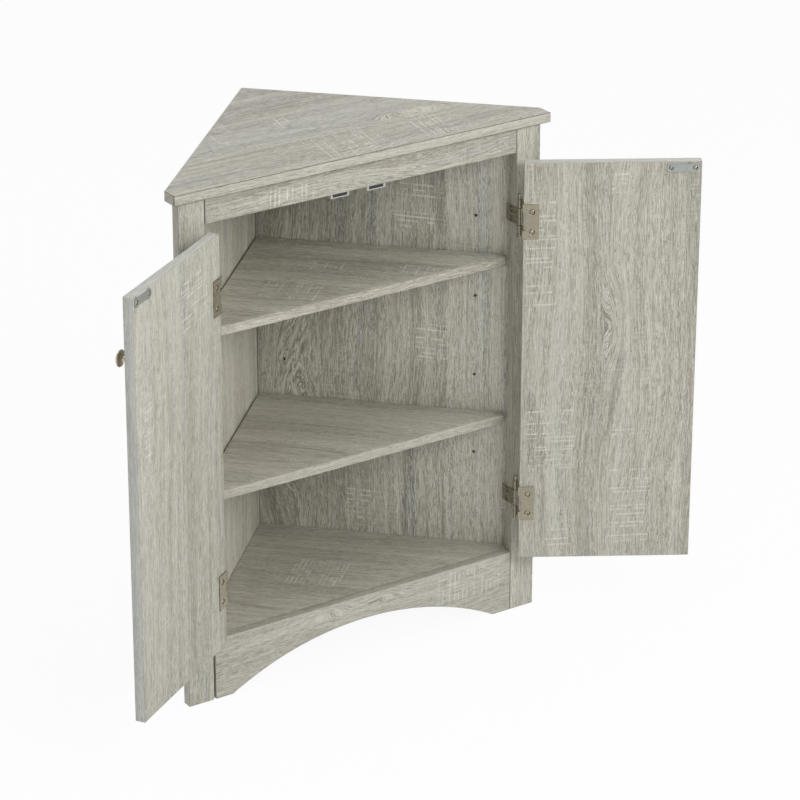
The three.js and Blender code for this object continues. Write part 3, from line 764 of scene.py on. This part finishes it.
for side, look in doorLooks.items():
    node = sideNames[side] + "_door"
    closed = closedPoints(side, node)
    low, high = closed.min(axis=0), closed.max(axis=0)
    outline, marks = roundedOutline(rectangle((low[0], low[2]), (high[0], high[2])))
    place = openPlace(side, uprightPlace(low[1], high[1] - low[1]))
    piece = boardMesh(node + "_board", outline, marks, high[1] - low[1], place, grainAlong((0, 1)),
                      boards["edgeAcross"]["door"])
    finish(piece, oakMaterial("washedOak_" + node, **look), node)
print("doors made")


# Turned pieces

def lathe(name, profile, sides, place, dent=None):
    # Surface of revolution: point (r, z) of the profile at angle t goes to (r cos t, r sin t, z).
    # The profile starts and ends on the axis, so each pole is a single point.
    # dent(x, y, z) gives how far a point is pressed down along the axis.
    profile = np.asarray(profile, float)
    t = np.arange(sides) * (2 * math.pi / sides)
    radius, height = profile[1:-1, 0], profile[1:-1, 1]
    grid = np.stack([radius[:, None] * np.cos(t), radius[:, None] * np.sin(t),
                     np.repeat(height[:, None], sides, axis=1)], axis=2).reshape(-1, 3)
    points = np.concatenate([[[0, 0, profile[0, 1]]], grid, [[0, 0, profile[-1, 1]]]])
    if dent:
        points[:, 2] -= dent(points[:, 0], points[:, 1], points[:, 2])
    rows = len(radius)
    i = np.arange(sides)
    following = (i + 1) % sides
    row = 1 + np.arange(rows - 1)[:, None] * sides
    quads = np.stack([row + i, row + following, row + sides + following, row + sides + i], axis=2)
    last = 1 + (rows - 1) * sides
    lowFan = np.stack([np.zeros(sides, int), 1 + following, 1 + i], axis=1)
    highFan = np.stack([last + i, last + following, np.full(sides, len(points) - 1)], axis=1)
    faces = [*quads.reshape(-1, 4).tolist(), *lowFan.tolist(), *highFan.tolist()]
    return newPiece(name, place(points), faces)


def arcProfile(centre, radii, start, end, steps):
    # Profile points on an ellipse about centre, from angle start to end, measured from the r axis.
    t = np.radians(np.linspace(start, end, steps))
    return np.stack([centre[0] + radii[0] * np.cos(t), centre[1] + radii[1] * np.sin(t)], axis=1)


def axisPlace(centre, axis, twist=0.0):
    # Puts a piece turned about Z at centre with its Z along axis, turned by twist about itself.
    axis = np.asarray(axis, float)
    side = np.cross([0, 0, 1], axis) if abs(axis[2]) < 0.9 else np.array([1.0, 0, 0])
    side = side / np.linalg.norm(side)
    upright = np.cross(axis, side)
    first = math.cos(twist) * side + math.sin(twist) * upright
    turn = np.stack([first, np.cross(axis, first), axis], axis=1)
    return lambda p: p @ turn.T + centre


screws = {
    "sides": 96,
    "recessReach": 1.8 * mm,
    "recessHalf": 0.50 * mm,
    "recessDepth": 1.4 * mm,
    "recessEdge": 0.10 * mm,
    "recessRise": 0.55,
    "dome": 0.55 * mm,
    "domePower": 3,
    "headSteps": 26,
    "tip": 1.2 * mm,
    "taper": 2.5 * mm,
    "tipShare": 0.45,
    "rimTop": 0.14 * mm,
    "rimEase": (0.05 * mm, 0.06 * mm),
    "wallTop": 0.02 * mm,
    "faceInset": 0.1 * mm,
    "recessFloor": 0.01 * mm,
    "hinge": {"head": 2.9 * mm, "rim": 4.1 * mm, "groove": 0.80 * mm, "shank": 1.75 * mm,
              "drop": 0.60 * mm, "sink": 1.5 * mm, "length": 12.5 * mm},
    "strike": {"head": 2.45 * mm, "rim": 3.5 * mm, "groove": 0.62 * mm, "shank": 1.4 * mm,
               "drop": 0.48 * mm, "sink": 1.2 * mm, "length": 11.0 * mm},
    "turns": {"strike": (0.5, 1.1, 0.0, 0.4), "frame": (0.3, 0.9, 1.7, 0.0), "door": (0.8, 1.3, 0.6, 0.2)},
}


def crossRecess(size, floor):
    # Depth pressed into the head: two crossed slots, shallower towards their ends.
    def dent(x, y, z):
        def fall(distance, limit):
            return np.clip((limit - distance) / screws["recessEdge"] + 0.5, 0, 1)
        reach, half = screws["recessReach"] * size, screws["recessHalf"] * size
        slots = [fall(np.abs(a), reach) * fall(np.abs(b), half) for a, b in ((x, y), (y, x))]
        shallow = 1 - screws["recessRise"] * np.clip(np.hypot(x, y) / reach, 0, 1)
        return np.where(z > floor, np.maximum(*slots) * shallow * screws["recessDepth"] * size, 0)
    return dent


def screw(node, kind, outwards, twist):
    # A countersunk screw: its head's face lies where the CAD screw's does, seen along outwards. The
    # groove round the domed middle of the head is painted dark, a painted shadow in the gap round it.
    points = nodePoints(node)
    outwards = np.asarray(outwards, float)
    reach = points @ outwards
    foremost = points[reach > reach.max() - onPlane]
    centre = (foremost.min(axis=0) + foremost.max(axis=0)) / 2
    size = screws[kind]
    head, rim, groove, drop = (size[key] for key in ("head", "rim", "groove", "drop"))
    face = np.linspace(head - screws["faceInset"], 0, screws["headSteps"])
    dome = screws["dome"] * (1 - (face / head) ** screws["domePower"]) - drop
    shank, end = size["shank"], -size["length"]
    soft, ease = screws["rimEase"]
    profile = np.concatenate([
        [[0, end], [shank * screws["tipShare"], screws["tip"] + end]],
        [[shank, screws["taper"] + end], [shank, -size["sink"]]],
        [[rim - soft, -screws["rimTop"] - ease], [rim, -screws["rimTop"]], [head + ease, -groove]],
        [[head, -groove + soft], [head, -drop - screws["wallTop"]]],
        np.stack([face, dome], axis=1),
    ])
    piece = lathe(node + "_turned", profile, screws["sides"], axisPlace(centre, outwards, twist),
                  crossRecess(head / screws["hinge"]["head"], -drop - screws["recessFloor"]))
    # The rows of the gap round the head carry the painted shadow.
    paintedShadowRows = np.zeros(len(profile) - 2, np.float32)
    paintedShadowRows[3:7] = 1.0  # the rows from the rim to the foot of the head's wall
    dark = np.concatenate([[0.0], np.repeat(paintedShadowRows, screws["sides"]), [0.0]]).astype(np.float32)
    piece.data.attributes.new("groove", "FLOAT", "POINT").data.foreach_set("value", dark)
    finish(piece, metalFinish["screw_metal"], node, smooth=50)


def alongDoor(side, direction):  # a closed door's direction, turned with the open door
    return doorTurns[side][1] @ np.array(direction, float)


def turnOf(place, k, row, side):  # each screw is left at a turn of its own
    first, byScrew, byHinge, bySide = screws["turns"][place]
    return first + byScrew * k + byHinge * row + bySide * side


for side, name in sideNames.items():
    into = alongDoor(side, (0, 1, 0))
    for k in (1, 2):
        screw(f"{name}_strike_screw_{k}", "strike", into, turnOf("strike", k, 0, side))
        for row, level in enumerate(("lower", "upper")):
            hinge = f"{name}_{level}_hinge"
            screw(f"{hinge}_frame_screw_{k}", "hinge", (-side, 0, 0), turnOf("frame", k, row, side))
            screw(f"{hinge}_door_screw_{k}", "hinge", into, turnOf("door", k, row, side))
print("screws made")


knobs = {
    "sides": 120,
    "base": 6.2 * mm,
    "baseEase": (0.2 * mm, 0.3 * mm),
    "footHeight": 1.6 * mm,
    "footEase": (0.25 * mm, 0.1 * mm, 0.5 * mm),
    "neck": 4.0 * mm,
    "neckStart": (0.5 * mm, 0.2 * mm),
    "waistPower": 5,
    "flarePower": 5.5,
    "risePower": 0.85,
    "neckSteps": 28,
    "radius": 12.3 * mm,
    "flareInset": 0.7 * mm,
    "rimHeight": 17.6 * mm,
    "rimRound": 1.3 * mm,
    "rimAngles": (-62, 66),
    "rimSteps": 12,
    "reach": 23.0 * mm,
    "domePower": 2.3,
    "domeSteps": 26,
    "seat": 0.3 * mm,
    "stud": 2.0 * mm,
    "studLength": 10.0 * mm,
}


def knobProfile():
    # Stud, a small foot, a waisted neck that flares to the rim, a rounded rim and a low dome. At t along
    # the neck its radius falls from the foot with a power of 1 - t and grows to the rim with one of t.
    base, seat, radius, rimRound = (knobs[key] for key in ("base", "seat", "radius", "rimRound"))
    foot = seat + knobs["footHeight"]
    inset, lift = knobs["neckStart"]
    flareStart, rimLow = foot + lift, knobs["rimHeight"] - rimRound
    t = np.linspace(0, 1, knobs["neckSteps"])
    waist = knobs["neck"] + (base - inset - knobs["neck"]) * (1 - t) ** knobs["waistPower"]
    flare = (radius - knobs["flareInset"] - knobs["neck"]) * t ** knobs["flarePower"]
    rise = flareStart + (rimLow - flareStart) * t ** knobs["risePower"]
    neck = np.stack([waist + flare, rise], axis=1)
    rim = arcProfile((radius - rimRound, knobs["rimHeight"]), (rimRound, rimRound), *knobs["rimAngles"],
                     knobs["rimSteps"])
    crown = rim[-1]
    r = np.linspace(crown[0], 0, knobs["domeSteps"])[1:]
    dome = crown[1] + (knobs["reach"] - crown[1]) * (1 - (r / crown[0]) ** knobs["domePower"])
    stud, end = knobs["stud"], -knobs["studLength"]
    easeIn, easeUp = knobs["baseEase"]
    footIn, footTop, footLow = knobs["footEase"]
    return np.concatenate([
        [[0, end], [stud, end], [stud, seat], [base - easeIn, seat], [base, seat + easeUp]],
        [[base, foot - footLow], [base - footIn, foot - footTop]],
        neck, rim, np.stack([r, dome], axis=1),
    ])


for side, name in sideNames.items():
    node = name + "_knob"
    closed = closedPoints(side, node)
    low, high = closed.min(axis=0), closed.max(axis=0)
    seat = np.array([(low[0] + high[0]) / 2, low[1] + knobs["reach"], (low[2] + high[2]) / 2])
    piece = lathe(node + "_turned", knobProfile(), knobs["sides"],
                  openPlace(side, axisPlace(seat, (0, -1, 0))))
    finish(piece, metalFinish["knob_metal"], node, smooth=45)
print("knobs made")


pins = {
    "sides": 72,
    "pin": 1.5 * mm,
    "washer": 3.0 * mm,
    "washerThickness": 0.8 * mm,
    "neck": 1.9 * mm,
    "neckLength": 1.6 * mm,
    "ball": 3.0 * mm,
    "ballSteps": 26,
    "softEdge": 0.2 * mm,
}


def pinProfile(halfLength):
    # From the middle up: pin, washer, neck and ball finial. The lower half is its mirror image.
    ball, neck, washer, soft = pins["ball"], pins["neck"], pins["washer"], pins["softEdge"]
    start = math.degrees(math.asin(neck / ball)) - 90
    centre = halfLength - ball
    neckTop = centre + ball * math.sin(math.radians(start))
    shoulder = neckTop - pins["neckLength"] - pins["washerThickness"]
    top = shoulder + pins["washerThickness"]
    upper = np.concatenate([
        [[pins["pin"], shoulder], [washer - soft, shoulder], [washer, shoulder + soft]],
        [[washer, top - soft], [washer - soft, top], [neck + soft, top], [neck, top + soft]],
        arcProfile((0, centre), (ball, ball), start, 90, pins["ballSteps"]),
    ])
    upper[-1, 0] = 0
    return np.concatenate([(upper * [1, -1])[::-1], upper])


for side, name in sideNames.items():
    for level in ("lower", "upper"):
        node = f"{name}_{level}_hinge_pin"
        low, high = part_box(node)
        piece = lathe(node + "_turned", pinProfile((high.z - low.z) / 2), pins["sides"],
                      axisPlace(np.array((low + high) / 2), (0, 0, 1)))
        finish(piece, metalFinish["pin_metal"], node, smooth=35)
print("hinge pins made")


# Pressed and moulded pieces: the CAD solid's faces, joined where they are flat, with eased edges

easing = {
    "width": {
        "hinge_metal": 0.18 * mm, "zinc_steel": 0.15 * mm, "grey_plastic": 0.35 * mm, "magnet": 0.2 * mm,
    },
    "mergeDistance": 0.001 * mm,
    "flatAngle": math.radians(1),
    "edgeAngle": math.radians(50),
    "segments": 2,
}


def eased(node, slot):
    mesh = frame["nodes"][node].data.copy()
    mesh.name = node + "_eased"
    solid = bmesh.new()
    solid.from_mesh(mesh)
    bmesh.ops.remove_doubles(solid, verts=solid.verts, dist=easing["mergeDistance"])
    bmesh.ops.dissolve_limit(solid, angle_limit=easing["flatAngle"], verts=solid.verts, edges=solid.edges)
    solid.to_mesh(mesh)
    solid.free()
    piece = bpy.data.objects.new(node + "_eased", mesh)
    bpy.context.collection.objects.link(piece)
    finish(piece, metalFinish[slot], node, smooth=35)
    bevel = piece.modifiers.new("easedEdges", "BEVEL")
    bevel.width = easing["width"][slot]
    bevel.segments = easing["segments"]
    bevel.limit_method = "ANGLE"
    bevel.angle_limit = easing["edgeAngle"]


for side, name in sideNames.items():
    for level in ("lower", "upper"):
        eased(f"{name}_{level}_hinge_frame_leaf", "hinge_metal")
        eased(f"{name}_{level}_hinge_door_leaf", "hinge_metal")
        for depth in ("back", "front"):
            eased(f"{level}_shelf_support_{name}_{depth}", "zinc_steel")
    eased(name + "_strike_plate", "zinc_steel")
    eased(name + "_catch_housing", "grey_plastic")
    eased(name + "_catch_magnet", "magnet")
print("pressed and moulded pieces made")


# Studio: pale floor, soft lamps, the photograph's viewing angle

studio = {
    "floorSize": 60.0,
    "floorColour": (0.9, 0.9, 0.9, 1),
    "floorGlow": 0.94,
    "world": 0.46,
    "brightBehind": (0.0, 0.3),
    "brightLow": (0.30, 0.05),
    "dimAbove": (0.95, 0.60),
    "cameraTarget": (0.13531, -0.2, 0.34223),
    "cameraAzimuth": -33.706,
    "cameraElevation": 23.679,
    "cameraRoll": 0.101,
    "cameraDistance": 5.49707,
    "lens": 164.098,
    "lampTarget": (0, -0.25, 0.4),
    "lamps": {
        "key": {"place": (0.4, -5.0, 3.4), "size": 2.8, "power": 128.0},
        "fillRight": {"place": (3.8, -3.6, 2.4), "size": 3.0, "power": 32.0},
        "fillLeft": {"place": (-3.8, -3.2, 2.6), "size": 2.0, "power": 6.0},
        "overhead": {"place": (0.0, -0.6, 4.2), "size": 3.0, "power": 32.0},
    },
}
seenRays = ("Is Camera Ray", "Is Glossy Ray", "Is Transmission Ray")


def makeFloor():
    # White for camera, mirror and glass rays, but for a small share of its lit surface, which keeps the
    # object's shadow.
    size = studio["floorSize"] / 2
    corners = np.array([(-size, -size, 0), (size, -size, 0), (size, size, 0), (-size, size, 0)])
    floor = newPiece("studioFloor", corners, [(0, 1, 2, 3)])
    material, graph, shader = newMaterial("studioFloor")
    feed(graph, shader, Base_Color=studio["floorColour"], Roughness=1.0, Specular_IOR_Level=0.0)
    glow = graph.node("ShaderNodeEmission", None, {"Color": (1, 1, 1, 1), "Strength": 1.0})
    camera, glossy, through = graph.lightPath(seenRays)
    seen = (camera + glossy + through).math("MINIMUM", 1.0)
    mixed = graph.node("ShaderNodeMixShader", None,
                       [seen * studio["floorGlow"], Val(graph.tree, shader.outputs[0]), glow])
    graph.tree.links.new(mixed.socket, graph.tree.nodes["Material Output"].inputs["Surface"])
    floor.data.materials.append(material)


def makeLamps():
    target = Vector(studio["lampTarget"])
    for name, lamp in studio["lamps"].items():
        data = bpy.data.lights.new(name, "AREA")
        data.shape = "DISK"
        data.size = lamp["size"]
        data.energy = lamp["power"]
        light = bpy.data.objects.new(name, data)
        light.location = lamp["place"]
        light.rotation_euler = (target - light.location).to_track_quat("-Z", "Y").to_euler()
        bpy.context.collection.objects.link(light)


def makeWorld():
    # White for the camera. Mirror rays see it white behind the cupboard and at the horizon, and dimmer
    # above and on the near side, as in a studio.
    world = bpy.data.worlds.new("studioWorld")
    world.use_nodes = True
    graph = Graph(world.node_tree)
    background = world.node_tree.nodes["Background"]
    camera, glossy, through = graph.lightPath(seenRays)
    backwards, height = graph.split(graph.node("ShaderNodeTexCoord"))[1:]
    bright = backwards.step(*studio["brightBehind"]).math("MAXIMUM", height.step(*studio["brightLow"]))
    mirrored = (glossy + through).math("MINIMUM", 1.0) * bright * height.step(*studio["dimAbove"])
    seen = (camera + mirrored).math("MINIMUM", 1.0)
    strength = seen + (1 - seen) * studio["world"]
    world.node_tree.links.new(strength.socket, background.inputs["Strength"])
    background.inputs["Color"].default_value = (1, 1, 1, 1)
    bpy.context.scene.world = world


def makeCamera():
    # The camera looks at its target from a compass direction and a height angle, with a slight roll.
    azimuth = math.radians(studio["cameraAzimuth"])
    elevation = math.radians(studio["cameraElevation"])
    level = math.cos(elevation)
    away = Vector((math.sin(azimuth) * level, -math.cos(azimuth) * level, math.sin(elevation)))
    data = bpy.data.cameras.new("photoCamera")
    data.sensor_width = 36
    data.lens = studio["lens"]
    camera = bpy.data.objects.new("photoCamera", data)
    camera.location = Vector(studio["cameraTarget"]) + away * studio["cameraDistance"]
    aim = (-away).to_track_quat("-Z", "Y")
    roll = Matrix.Rotation(math.radians(studio["cameraRoll"]), 4, "Z")
    camera.rotation_euler = (aim.to_matrix().to_4x4() @ roll).to_euler()
    bpy.context.collection.objects.link(camera)
    bpy.context.scene.camera = camera


makeFloor()
makeLamps()
makeWorld()
makeCamera()
bpy.context.scene.view_settings.view_transform = "Standard"
print("studio ready")
